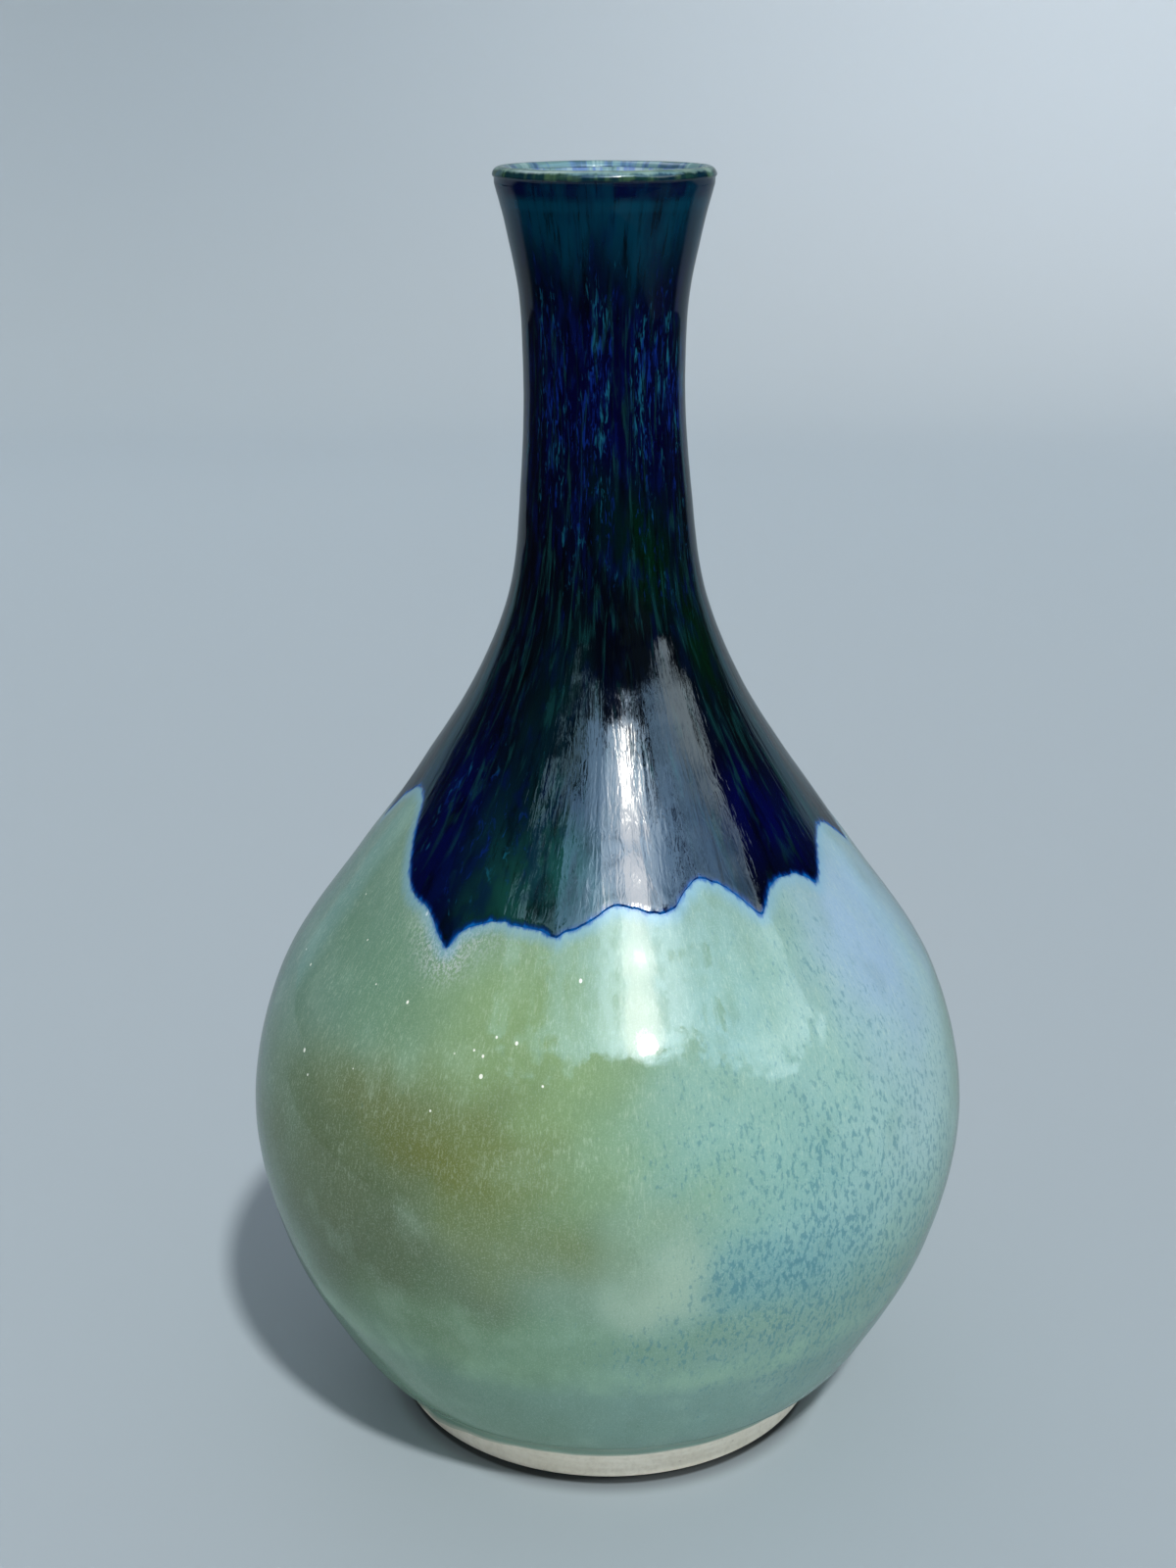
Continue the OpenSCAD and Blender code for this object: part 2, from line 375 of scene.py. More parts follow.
def laid_on(phi, z, ground, patches, warp):
    """The ground colour with soft patches laid over it in turn. A patch is azimuth, height, half width in
    degrees, half height in mm, strength and colour; warp bends their outlines by so many degrees and mm."""
    phi, z = np.broadcast_arrays(phi, z)
    bent_phi = phi + warp * (wander(phi, z, 22, 20, 7) + 0.45 * wander(phi, z, 6, 7, 8))
    bent_z = z + 0.7 * warp * (wander(phi, z, 22, 20, 9) + 0.45 * wander(phi, z, 6, 7, 10))
    colour = np.broadcast_to(linear(ground), phi.shape + (3,)).copy()
    for azimuth, height, wide, tall, strength, tint in patches:
        round_to = (bent_phi - azimuth + 180) % 360 - 180
        cover = strength * np.exp(-((round_to / wide) ** 2 + ((bent_z - height) / tall) ** 2) ** 1.3)
        colour += cover[..., None] * (linear(tint) - colour)
    return colour


# ---- where each colour lies on the glazes ---------------------------------------------------
# azimuth, height, half width in degrees, half height in mm, strength, display colour

WHITE = (255, 255, 255)         # for the lists that say only how much there is of something

BASE_GROUND = (122, 156, 138)
BASE_PATCHES = [
    (-130, 70, 60, 40, 0.8, (124, 154, 132)),       # green of the back left
    (150, 60, 50, 40, 0.7, (122, 154, 136)),        # green of the back
    (-82, 54, 17, 26, 0.6, (134, 160, 150)),        # paler left rim
    (-78, 88, 26, 22, 0.8, (102, 136, 128)),        # sage at the left side
    (-48, 90, 26, 14, 0.8, (102, 140, 116)),        # sage below the long run
    (-50, 30, 34, 19, 0.9, (103, 136, 112)),        # deeper green low on the left, partly glaze colour and partly painted shade on the side away from the sun
    (-20, 16, 50, 9, 0.7, (110, 142, 118)),
    (-10, 82, 26, 18, 0.9, (130, 160, 112)),        # yellow-green of the front
    (-26, 68, 30, 10, 0.95, (104, 112, 60)),        # olive-brown pool
    (-6, 67, 18, 9, 0.6, (114, 130, 74)),           # its paler right part
    (-52, 58, 22, 11, 0.85, (92, 106, 74)),         # its darker left part
    (-36, 48, 27, 12, 0.85, (84, 98, 68)),          # grey-brown below it
    (-36, 40, 20, 8, 0.6, (88, 106, 74)),
    (-12, 57, 12, 10, 0.7, (108, 122, 72)),
    (8, 70, 16, 11, 0.7, (124, 158, 112)),          # clear green right of the pool
    (-6, 37, 34, 8, 0.7, (114, 150, 114)),          # clear green below it
    (38, 66, 32, 24, 0.9, (136, 183, 178)),         # aqua of the right
    (34, 84, 18, 9, 0.45, (146, 190, 182)),
    (34, 24, 52, 19, 0.6, (118, 157, 152)),         # blue-green low on the right
    (28, 51, 20, 11, 0.6, (98, 152, 162)),          # bluest part of it
    (62, 70, 24, 19, 0.8, (160, 194, 197)),         # blue-grey of the right side
    (66, 90, 24, 16, 0.95, (150, 182, 210)),        # lavender below the dark coat, partly glaze colour and partly painted highlight on the well-lit right side
    (104, 88, 26, 14, 0.7, (140, 172, 190)),
    (168, 62, 26, 12, 0.7, (106, 118, 74)),         # a second olive pool at the back
    (196, 48, 20, 10, 0.6, (96, 112, 84)),
    (215, 82, 26, 16, 0.6, (130, 164, 130)),
    (6, 50, 8, 8, 0.7, (164, 190, 168)),            # pale cloud low at the front
    (130, 34, 40, 12, 0.5, (116, 146, 136)),
]

# Teal flecks of the base coat
FLECK_PATCHES = [
    (28, 52, 22, 11, 1.0, WHITE),
    (48, 66, 34, 24, 0.78, WHITE),
    (62, 44, 34, 20, 0.7, WHITE),
    (26, 34, 34, 14, 0.85, WHITE),
    (46, 22, 24, 8, 0.5, WHITE),
    (18, 68, 16, 12, 0.45, WHITE),
    (34, 88, 24, 9, 0.5, WHITE),
    (-26, 72, 30, 12, 0.22, WHITE),
    (-120, 58, 34, 22, 0.8, WHITE),
    (140, 80, 30, 14, 0.5, WHITE),
]

# White specks of the base coat
SPECK_PATCHES = [
    (-40, 88, 22, 12, 1.0, WHITE),
    (-26, 84, 18, 10, 0.8, WHITE),
    (-44, 74, 24, 10, 0.5, WHITE),
    (205, 88, 24, 10, 0.8, WHITE),
]

OVER_GROUND = (1, 3, 12)
OVER_PATCHES = [
    (10, 172, 90, 19, 0.95, (1, 1, 40)),            # navy of the neck
    (-150, 172, 70, 20, 0.9, (1, 3, 32)),
    (0, 200, 400, 9, 0.97, (0, 48, 68)),            # teal below the lip
    (28, 149, 20, 9, 0.9, (0, 28, 10)),             # dark green patches
    (52, 136, 15, 12, 0.9, (0, 26, 8)),
    (0, 152, 12, 8, 0.6, (0, 22, 22)),
    (-22, 116, 14, 18, 0.6, (4, 36, 38)),
    (-24, 103, 13, 8, 0.9, (16, 62, 54)),
    (-12, 102, 9, 9, 0.8, (26, 74, 72)),
    (-52, 108, 18, 15, 0.9, (0, 4, 56)),
    (50, 107, 16, 9, 0.95, (0, 2, 56)),             # indigo above the right arches
    (14, 108, 18, 10, 0.5, (8, 18, 50)),
    (120, 120, 30, 18, 0.7, (0, 18, 14)),
    (185, 118, 26, 18, 0.7, (0, 4, 40)),
    (240, 124, 24, 18, 0.7, (2, 24, 22)),
]

# Blue and teal flecks of the dark coat
OVER_FLECK_PATCHES = [
    (0, 173, 400, 20, 1.0, WHITE),
    (-44, 112, 30, 18, 0.75, WHITE),
    (10, 148, 400, 14, 0.55, WHITE),
    (170, 112, 60, 14, 0.5, WHITE),
]


# ---- the five pieces ------------------------------------------------------------------------

def foot_line(phi):
    """Height of the lower edge of the base coat, smoothed."""
    stations = np.transpose(FOOT_LINE)
    return np.mean([np.interp(phi + turn, *stations, period=360) for turn in range(-10, 11, 4)], axis=0)


def base_coat():
    """The pale coat, from its uneven lower edge on the foot ring to the lip, with a closed back."""
    phi = azimuths(400)[None, :]
    start = run_at(foot_line(phi) + 0.3 * wander(phi, 0 * phi, 6, 1, 11))
    settled, shoulder, end = run_at(14.0), run_at(113.0), SKIN_RUN[-1]
    share = np.linspace(0, 1, 26)[:, None] ** 1.4
    run = np.concatenate([
        start + (settled - start) * share,
        np.arange(settled, shoulder, 0.85)[1:, None] + 0 * phi,
        np.linspace(shoulder, end, 26)[:, None] + 0 * phi,
    ])
    z = skin(run, 0)[..., 1]
    from_edge = run - start
    rolled = np.sqrt(1 - (1 - np.clip(from_edge / 0.5, 0, 1)) ** 2)
    rolled *= 0.15 + 0.85 * ramp(0, 10, from_edge)
    lift = coat_thickness(z, BASE_T) * rolled + relief(phi, z) * ramp(0, 3, from_edge) - 0.03 * (1 - rolled)
    back = start + (end - start) * np.linspace(1, 0, 48)[:, None] ** 1.7
    rings = np.concatenate([skin(run, lift), skin(back, -0.12)])
    run, z = np.concatenate([run, back]), np.concatenate([z, skin(back, 0)[..., 1]])
    piece = spin("celadon_base_coat", rings, closed=True)
    edge = border_distance(phi, z)
    paint(piece, "flow", flow(phi, run))
    paint(piece, "edge", edge)
    paint(piece, "ground", laid_on(phi, z, BASE_GROUND, BASE_PATCHES, 7))
    paint(piece, "flecks", laid_on(phi, z, (0, 0, 0), FLECK_PATCHES, 9)[..., 0])
    paint(piece, "specks", laid_on(phi, z, (0, 0, 0), SPECK_PATCHES, 9)[..., 0])
    paint(piece, "height", z / 100 + 0 * phi)
    paint(piece, "thin", 1 - ramp(0, 1.8, run - start))
    paint(piece, "runs", np.exp(-(run_end_distance(phi, z, DEEP_RUN_ENDS) / 8.0) ** 2))
    return piece


def over_coat():
    """The dark coat, from its runs up to the lip. It swells a little at the end of each run."""
    phi = azimuths(576)[None, :]
    start = run_at(border_z(phi))
    end = SKIN_RUN[-1]
    share = np.concatenate([np.linspace(0, 0.1, 30), np.linspace(0.1, 1, 74)[1:]])[:, None]
    run = start + (end - start) * share
    z = skin(run, 0)[..., 1]
    edge = border_distance(phi, z)
    rolled = 0.92 * ramp(-2, 9, edge) + 0.08 * ramp(-0.2, 1.2, edge)
    full = coat_thickness(z, OVER_T) * (1 + 0.35 * np.exp(-(run_end_distance(phi, z, RUN_ENDS) / 3.5) ** 2))
    under = coat_thickness(z, BASE_T) + relief(phi, z)
    back = np.linspace(end, 0, 24)[:, None] * (1 - start / end) + start
    rings = np.concatenate([skin(run, under + full * rolled - 0.02), skin(back, 0.1)])
    run, z = np.concatenate([run, back]), np.concatenate([z, skin(back, 0)[..., 1]])
    piece = spin("cobalt_over_coat", rings, closed=True)
    paint(piece, "flow", flow(phi, run))
    paint(piece, "edge", np.concatenate([edge, border_distance(phi, skin(back, 0)[..., 1])]))
    paint(piece, "height", z / 100 + 0 * phi)
    paint(piece, "ground", laid_on(phi, z, OVER_GROUND, OVER_PATCHES, 6))
    paint(piece, "flecks", laid_on(phi, z, (0, 0, 0), OVER_FLECK_PATCHES, 8)[..., 0])
    paint(piece, "streaks", ramp(96, 112, z) * (1 - ramp(180, 194, z)) + 0 * phi)
    return piece


def clay_body():
    """The bare clay: foot ring, trimmed recess, and the wall behind the coats up to the lip."""
    phi = azimuths(360)[None, :]
    recess_r = FOOT_R - RING_W - RECESS_H
    trimmed = np.linspace(1.0, recess_r, 44)
    recess = np.stack([trimmed, RECESS_H + 0.3 * (1 - trimmed / recess_r)], 1)
    inner_edge = arc((FOOT_R - RING_W + RING_EDGE_R, RING_EDGE_R), RING_EDGE_R, 180, 270, 10)
    land = np.stack([np.linspace(FOOT_R - RING_W + RING_EDGE_R, FOOT_R - RING_EDGE_R, 9), np.zeros(9)], 1)
    outer_edge = arc((FOOT_R - RING_EDGE_R, RING_EDGE_R), RING_EDGE_R, -90, EDGE_TURN, 6)
    wall = skin(np.arange(SKIN_RUN[0], run_at(12.0), 0.3), 0)
    hidden = skin(np.linspace(run_at(12.0), SKIN_RUN[-1], 60), 0)
    lip = arc(LIP_CENTRE, LIP_EDGE_R, -FLARE, 180 - INNER_FLARE, 12)
    inside = INNER[::-6]
    outline = np.concatenate([recess, inner_edge[1:], land[1:], outer_edge[1:], wall[1:], hidden[1:],
                              lip[1:], inside[1:-1]])
    rings = np.repeat(outline[:, None, :], phi.size, axis=1)
    radius, z = rings[..., 0].copy(), rings[..., 1].copy()
    tool_marks = 0.10 * np.sin(radius * 2 * math.pi / 2.4 + 1.2 * wander(phi, radius, 50, 6, 12))
    rings[..., 1] += tool_marks * ramp(2, 5, radius) * (1 - ramp(recess_r - 3, recess_r, radius)) * (z < 3.2)
    bumps = 0.05 * wander(phi, z, 3.0, 1.6, 13) + 0.04 * np.sin(z * 2 * math.pi / 1.3)
    glazed = foot_line(phi)
    outside_wall = (radius > FOOT_R - 0.8) & (z < 12)
    rings[..., 0] += bumps * outside_wall * ramp(0.8, 1.6, z) * (1 - ramp(glazed - 0.9, glazed - 0.2, z))
    rings[..., 0] -= 0.15 * outside_wall * ramp(glazed + 0.8, glazed + 2.5, z) * (1 - ramp(10, 12, z))
    return spin("thrown_clay_body", rings, pole_first=True, pole_last=True)


def liner_coat():
    """The coat inside, from the middle of the floor to the lip."""
    phi = azimuths(256)[None, :]
    path = INNER[::-2][::-1]
    out = normals(path)
    run = lengths(path)[:, None]
    z = path[:, 1][:, None]
    full = LIP_COAT_T + (LINER_T - LIP_COAT_T) * (1 - ramp(LIP_FOOT_Z - 14, LIP_FOOT_Z, z))
    lift = full + 0.05 * wander(phi, z, 14, 8, 14) * ramp(9, 20, z) * (1 - ramp(196, 203, z))
    face = path[:, None, :] - out[:, None, :] * lift[..., None]
    face[..., 0] = np.maximum(face[..., 0], 0.5)
    back = path[::-3][:, None, :] + out[::-3][:, None, :] * 0.1 + 0 * phi[..., None]
    back[..., 0] = np.maximum(back[..., 0], 0.5)
    piece = spin("liner_coat", np.concatenate([face[::-1], back[::-1]]), closed=True)
    paint(piece, "flow", flow(phi, np.concatenate([run[::-1], run[::-3][::-1]])))
    paint(piece, "height", np.concatenate([z[::-1], z[::-3][::-1]]) / 100 + 0 * phi)
    return piece


def lip_coat():
    """The thin pale coat over the rounded lip, from the dark coat to the liner."""
    phi = azimuths(400)[None, :]
    low, high = -FLARE - 12, 180 - INNER_FLARE + 24
    turn = np.linspace(low, high, 36)[:, None]
    lift = LIP_COAT_T + 0.03 + 0.03 * wander(phi, turn / 4, 9, 12, 15)
    ends = ramp(low + 4, low + 32, turn) * (1 - ramp(high - 22, high, turn))
    reach = LIP_EDGE_R + lift * ends
    angle = np.radians(turn)
    face = np.stack([LIP_CENTRE[0] + reach * np.cos(angle), LIP_CENTRE[1] + reach * np.sin(angle)], -1)
    back = arc(LIP_CENTRE, LIP_EDGE_R - 0.1, high, low, 12)
    rings = np.concatenate([face, np.repeat(back[:, None, :], phi.size, axis=1)])
    piece = spin("lip_coat", rings, closed=True)
    paint(piece, "flow", flow(phi, np.concatenate([turn / 20, np.zeros((13, 1))])))
    paint(piece, "turn", np.concatenate([turn / 100 + 0 * phi, np.zeros((13, phi.size))]))
    return piece


# ---- materials ------------------------------------------------------------------------------

class Shader:
    """Short names for the nodes of one procedural material, or of the world."""

    def __init__(self, owner):
        self.owner = owner
        owner.use_nodes = True
        self.tree = owner.node_tree
        self.tree.nodes.clear()

    def node(self, kind, inputs=(), **settings):
        made = self.tree.nodes.new(kind)
        for key, value in settings.items():
            setattr(made, key, value)
        for key, value in dict(inputs).items():
            if isinstance(value, bpy.types.NodeSocket):
                self.tree.links.new(value, made.inputs[key])
            else:
                made.inputs[key].default_value = value
        return made

    def read(self, name, output="Fac"):
        return self.node("ShaderNodeAttribute", attribute_name=name).outputs[output]

    def math(self, operation, *values):
        return self.node("ShaderNodeMath", enumerate(values), operation=operation).outputs[0]

    def fade(self, value, low, high, to_low=0.0, to_high=1.0):
        """Goes smoothly from to_low to to_high as the value goes from low to high."""
        inputs = {"Value": value, "From Min": low, "From Max": high, "To Min": to_low, "To Max": to_high}
        return self.node("ShaderNodeMapRange", inputs, interpolation_type="SMOOTHSTEP").outputs[0]

    def stretched(self, vector, x, z):
        """The flow coordinates with x repeats round the vase and z along it, in units of noise."""
        return self.node("ShaderNodeMapping", {"Vector": vector, "Scale": (x, x, z)}).outputs[0]

    def noise(self, vector, detail=2.0, roughness=0.5, distortion=0.0):
        inputs = {"Vector": vector, "Scale": 1.0, "Detail": detail, "Roughness": roughness,
                  "Distortion": distortion}
        return self.node("ShaderNodeTexNoise", inputs).outputs["Fac"]

    def mix(self, factor, a, b):
        """From colour a to colour b as the factor goes from 0 to 1."""
        made = self.node("ShaderNodeMix", data_type="RGBA")
        for index, value in ((0, factor), (6, a), (7, b)):
            if isinstance(value, bpy.types.NodeSocket):
                self.tree.links.new(value, made.inputs[index])
            else:
                made.inputs[index].default_value = value
        return made.outputs[2]

    def vector(self, operation, *values, output=0):
        return self.node("ShaderNodeVectorMath", enumerate(values), operation=operation).outputs[output]

    def scaled(self, vector, scale):
        return self.node("ShaderNodeVectorMath", {0: vector, 3: scale}, operation="SCALE").outputs[0]

    def bump(self, height, depth, strength=1.0, over=None):
        """Relief so many mm deep, laid over other relief where that is given."""
        inputs = {"Height": height, "Distance": depth * MM, "Strength": strength}
        if over is not None:
            inputs["Normal"] = over
        return self.node("ShaderNodeBump", inputs).outputs[0]

    def finish(self, colour, roughness, normal=None, ior=1.5):
        """Ends a material with one surface, and returns the material."""
        inputs = {"Base Color": colour, "Roughness": roughness, "IOR": ior}
        if normal is not None:
            inputs["Normal"] = normal
        surface = self.node("ShaderNodeBsdfPrincipled", inputs).outputs[0]
        self.node("ShaderNodeOutputMaterial", {"Surface": surface})
        return self.owner


def new_material(name):
    return Shader(bpy.data.materials.new(name))


def shade(*colour):
    """Colour for a socket, from display values of 0 to 255."""
    return (*linear(colour).tolist(), 1.0)


def base_glaze_material():
    """Pale runny glaze: soft ground colours, fine fibres, teal flecks, white specks, a blue edge."""
    s = new_material("celadon_glaze_shader")
    flow_at, edge, runs, height = s.read("flow", "Vector"), s.read("edge"), s.read("runs"), s.read("height")
    colour = s.read("ground", "Vector")
    cloudy = s.noise(s.stretched(flow_at, 7, 5), 3, 0.55)
    fibres = s.noise(s.stretched(flow_at, 170, 38), 3, 0.6)
    grain = s.noise(s.stretched(flow_at, 260, 190), 1, 0.5)
    colour = s.mix(s.fade(cloudy, 0.5, 0.75, 0, 0.14), colour, shade(170, 204, 184))
    colour = s.mix(s.fade(cloudy, 0.5, 0.25, 0, 0.14), colour, shade(80, 112, 84))
    fibrous = s.math("MULTIPLY", s.fade(cloudy, 0.3, 0.65, 0.45, 1.0), s.fade(height, 0.45, 0.75, 0.2, 1.0))
    pale_fibres = s.math("MULTIPLY", s.fade(fibres, 0.52, 0.70, 0, 0.27), fibrous)
    colour = s.mix(pale_fibres, colour, shade(198, 220, 198))
    colour = s.mix(s.fade(fibres, 0.44, 0.28, 0, 0.16), colour, shade(70, 104, 84))
    colour = s.mix(s.fade(grain, 0.5, 0.7, 0, 0.12), colour, shade(206, 224, 212))

    flecks = s.noise(s.stretched(flow_at, 84, 36), 3, 0.6, 0.3)
    amount = s.read("flecks")
    threshold = s.math("SUBTRACT", 0.74, s.math("MULTIPLY", amount, 0.23))
    fleck = s.fade(s.math("SUBTRACT", flecks, threshold), -0.05, 0.07)
    strength = s.math("ADD", s.math("MULTIPLY", amount, 0.45), 0.10)
    colour = s.mix(s.math("MULTIPLY", fleck, strength), colour, shade(52, 116, 134))

    cells = s.node("ShaderNodeTexVoronoi", {"Vector": s.stretched(flow_at, 34, 26), "Scale": 1.0})
    lot = s.node("ShaderNodeSeparateColor", {"Color": cells.outputs["Color"]}).outputs
    chosen = s.math("LESS_THAN", lot[0], s.math("MULTIPLY", s.read("specks"), 0.22))
    size = s.math("MULTIPLY", s.math("POWER", lot[1], 3.0), 0.12)
    dot = s.fade(s.math("SUBTRACT", cells.outputs["Distance"], size), 0.115, 0.085)
    colour = s.mix(s.math("MULTIPLY", dot, chosen), colour, shade(240, 246, 234))

    ring = s.math("MULTIPLY", s.fade(height, 0.26, 0.30), s.fade(height, 0.36, 0.31))
    ring = s.math("MULTIPLY", ring, s.fade(cloudy, 0.35, 0.6, 0.05, 0.28))
    colour = s.mix(ring, colour, shade(160, 198, 164))
    curds = s.fade(s.noise(s.stretched(flow_at, 130, 100), 2, 0.6), 0.46, 0.60)
    fringe = s.math("MULTIPLY", s.fade(edge, -8.0, -2.0), s.math("ADD", s.math("MULTIPLY", runs, 0.8), 0.04))
    colour = s.mix(s.math("MULTIPLY", fringe, curds), colour, shade(178, 192, 190))
    shift = s.math("MULTIPLY", s.noise(s.stretched(flow_at, 40, 14), 3, 0.65), 1.5)
    near = s.math("ADD", edge, shift)
    colour = s.mix(s.fade(near, -2.0, 0.6, 0, 0.58), colour, shade(126, 172, 200))
    colour = s.mix(s.fade(near, 0.15, 0.9, 0, 0.9), colour, shade(10, 84, 160))

    colour = s.mix(s.fade(s.read("thin"), 0.0, 1.0, 0, 0.65), colour, shade(206, 206, 188))
    dimples = s.noise(s.stretched(flow_at, 45, 30), 2)
    gloss = s.math("MAXIMUM", s.fade(cloudy, 0.3, 0.7, 0.04, 0.075), s.fade(height, 0.07, 0.15, 0.75, 0.0))
    return s.finish(colour, gloss, s.bump(dimples, 0.012))


def over_glaze_material():
    """Dark runny glaze: navy to black-green, flecked on the neck, bright blue at its thin edge."""
    s = new_material("cobalt_glaze_shader")
    flow_at, edge, height = s.read("flow", "Vector"), s.read("edge"), s.read("height")
    colour = s.read("ground", "Vector")
    streaky = s.noise(s.stretched(flow_at, 15, 5), 4, 0.62)
    blotch = s.noise(s.stretched(flow_at, 5, 4), 3, 0.55)
    colour = s.mix(s.fade(blotch, 0.45, 0.7, 0, 0.5), colour, shade(1, 10, 34))
    colour = s.mix(s.fade(streaky, 0.52, 0.28, 0, 0.8), colour, shade(0, 1, 4))

    flecks = s.noise(s.stretched(flow_at, 27, 17), 3, 0.62, 0.8)
    cluster = s.fade(s.noise(s.stretched(flow_at, 3.2, 1.6), 2), 0.36, 0.60, 0.25, 1.0)
    amount = s.math("MULTIPLY", s.read("flecks"), cluster)
    threshold = s.math("SUBTRACT", 0.69, s.math("MULTIPLY", amount, 0.19))
    fleck = s.math("MULTIPLY", s.fade(s.math("SUBTRACT", flecks, threshold), -0.02, 0.12), amount)
    hue = s.noise(s.stretched(flow_at, 7, 6), 2)
    tint = s.mix(s.fade(hue, 0.46, 0.60), shade(8, 36, 108), shade(22, 90, 112))
    clots = s.fade(s.noise(s.stretched(flow_at, 10, 8), 3, 0.6), 0.50, 0.66, 0, 0.55)
    colour = s.mix(s.math("MULTIPLY", clots, s.read("flecks")), colour, shade(2, 16, 72))
    colour = s.mix(s.math("MULTIPLY", fleck, 0.9), colour, tint)

    streaks = s.noise(s.stretched(flow_at, 16, 4.6), 3, 0.62, 0.6)
    streaked = s.math("MULTIPLY", s.fade(streaks, 0.52, 0.70, 0, 0.6), s.read("streaks"))
    colour = s.mix(streaked, colour, shade(14, 54, 56))
    frayed = s.math("MULTIPLY", s.noise(s.stretched(flow_at, 40, 8), 3, 0.65), 1.6)
    thin = s.math("SUBTRACT", edge, frayed)
    colour = s.mix(s.fade(thin, 0.2, -0.7, 0, 0.7), colour, shade(2, 40, 112))
    colour = s.mix(s.fade(thin, -0.35, -0.85, 0, 0.9), colour, shade(10, 94, 168))

    patchy = s.noise(s.stretched(flow_at, 4.5, 5), 3, 0.6)
    light_ring = s.math("MULTIPLY", s.fade(height, 1.990, 1.997), s.fade(height, 2.010, 2.004))
    light_ring = s.math("MULTIPLY", light_ring, s.fade(patchy, 0.3, 0.6, 0.1, 0.4))
    colour = s.mix(light_ring, colour, shade(4, 62, 84))
    dark_ring = s.math("MULTIPLY", s.fade(height, 2.006, 2.018), s.fade(patchy, 0.35, 0.60, 0.25, 0.95))
    colour = s.mix(dark_ring, colour, shade(2, 5, 44))
    on_shoulder = s.fade(height, 1.55, 1.15, 0.12, 1.0)
    runnels = s.math("MULTIPLY", s.noise(s.stretched(flow_at, 20, 3), 2, 0.5, 0.4), on_shoulder)
    cells = s.math("MULTIPLY", s.noise(s.stretched(flow_at, 44, 18), 2, 0.5, 0.8), on_shoulder)
    relief_on_it = s.bump(cells, 0.024, over=s.bump(runnels, 0.055))
    return s.finish(colour, s.fade(blotch, 0.3, 0.7, 0.035, 0.06), relief_on_it)


def liner_glaze_material():
    """Pale blue and green streaks inside, deeper towards the floor."""
    s = new_material("liner_glaze_shader")
    flow_at, height = s.read("flow", "Vector"), s.read("height")
    streaky = s.noise(s.stretched(flow_at, 6, 1.6), 4, 0.6)
    cloudy = s.noise(s.stretched(flow_at, 7, 5), 3, 0.6)
    colour = s.mix(s.fade(streaky, 0.42, 0.56), shade(124, 160, 162), shade(100, 128, 180))
    colour = s.mix(s.fade(cloudy, 0.5, 0.65, 0, 0.7), colour, shade(160, 190, 188))
    colour = s.mix(s.fade(streaky, 0.46, 0.34, 0, 0.7), colour, shade(54, 92, 104))
    colour = s.mix(s.fade(height, 1.9, 0.9, 0, 0.6), colour, shade(104, 138, 122))
    return s.finish(colour, 0.06, s.bump(s.noise(s.stretched(flow_at, 30, 30)), 0.02))


def lip_glaze_material():
    """Thin pale coat: green and olive patches outside, translucent grey-teal on top, blue patches inside."""
    s = new_material("lip_glaze_shader")
    flow_at, turn = s.read("flow", "Vector"), s.read("turn")
    patchy = s.noise(s.stretched(flow_at, 4.5, 0.4), 3, 0.55)
    inner = s.noise(s.stretched(flow_at, 6, 0.3), 3, 0.6)
    below = s.mix(s.fade(patchy, 0.36, 0.60), shade(2, 34, 54), shade(2, 8, 44))
    mossy = s.noise(s.stretched(flow_at, 9, 0.5))
    moss = s.mix(s.fade(mossy, 0.45, 0.6), shade(22, 56, 52), shade(60, 88, 64))
    outside = s.mix(s.fade(patchy, 0.34, 0.56, 0.1, 0.95), below, moss)
    on_top = s.mix(s.fade(patchy, 0.35, 0.65), shade(92, 124, 124), shade(126, 154, 142))
    inside = s.mix(s.fade(inner, 0.42, 0.54), shade(86, 118, 158), shade(108, 146, 150))
    inside = s.mix(s.fade(inner, 0.46, 0.36, 0, 0.7), inside, shade(58, 92, 100))
    inside = s.mix(s.fade(inner, 0.56, 0.66, 0, 0.7), inside, shade(152, 184, 186))
    edge_at = s.math("ADD", turn, s.math("MULTIPLY", s.math("SUBTRACT", inner, 0.5), 0.9))
    colour = s.mix(s.fade(edge_at, -0.18, 0.10), below, outside)
    colour = s.mix(s.fade(edge_at, 0.30, 0.52), colour, on_top)
    colour = s.mix(s.fade(edge_at, 0.85, 1.15), colour, inside)
    return s.finish(colour, 0.06, s.bump(s.noise(s.stretched(flow_at, 30, 2)), 0.02))


def bare_clay_material():
    """Pale stoneware: warm cream, fine grain, iron specks."""
    s = new_material("bare_clay_shader")
    place_at = s.node("ShaderNodeTexCoord").outputs["Object"]

    def grain(scale, detail=3, roughness=0.6):
        return s.noise(s.scaled(place_at, scale), detail, roughness)

    broad, fine, sand = grain(60), grain(900), grain(2600, 2)
    colour = s.mix(s.fade(broad, 0.35, 0.65), shade(226, 220, 202), shade(238, 232, 216))
    colour = s.mix(s.fade(fine, 0.4, 0.7, 0, 0.25), colour, shade(186, 176, 154))
    cells = s.node("ShaderNodeTexVoronoi", {"Vector": place_at, "Scale": 420.0})
    speck = s.math("MULTIPLY", s.fade(cells.outputs["Distance"], 0.16, 0.06), s.fade(fine, 0.5, 0.6))
    colour = s.mix(s.math("MULTIPLY", speck, 0.4), colour, shade(120, 98, 74))
    rough = s.bump(sand, 0.05, 0.6, s.bump(fine, 0.08, 0.6))
    return s.finish(colour, 0.82, rough)


# ---- floor, lights and camera, in metres and degrees ----------------------------------------

BACK, SWEEP, BACKDROP_TOP = 0.95, 0.5, 1.3           # where the backdrop starts, its bend and its height
TABLE_FRONT, TABLE_SIDE = -0.30, 0.85                # edges of the part that the glazes reflect
ROOM = 2.2                                           # half width of the whole floor
FOOT_SHADOW = 1.8 * MM                               # how far in front of the axis its middle lies
SUN_AT = (20, 54)                                    # azimuth and height of the main light

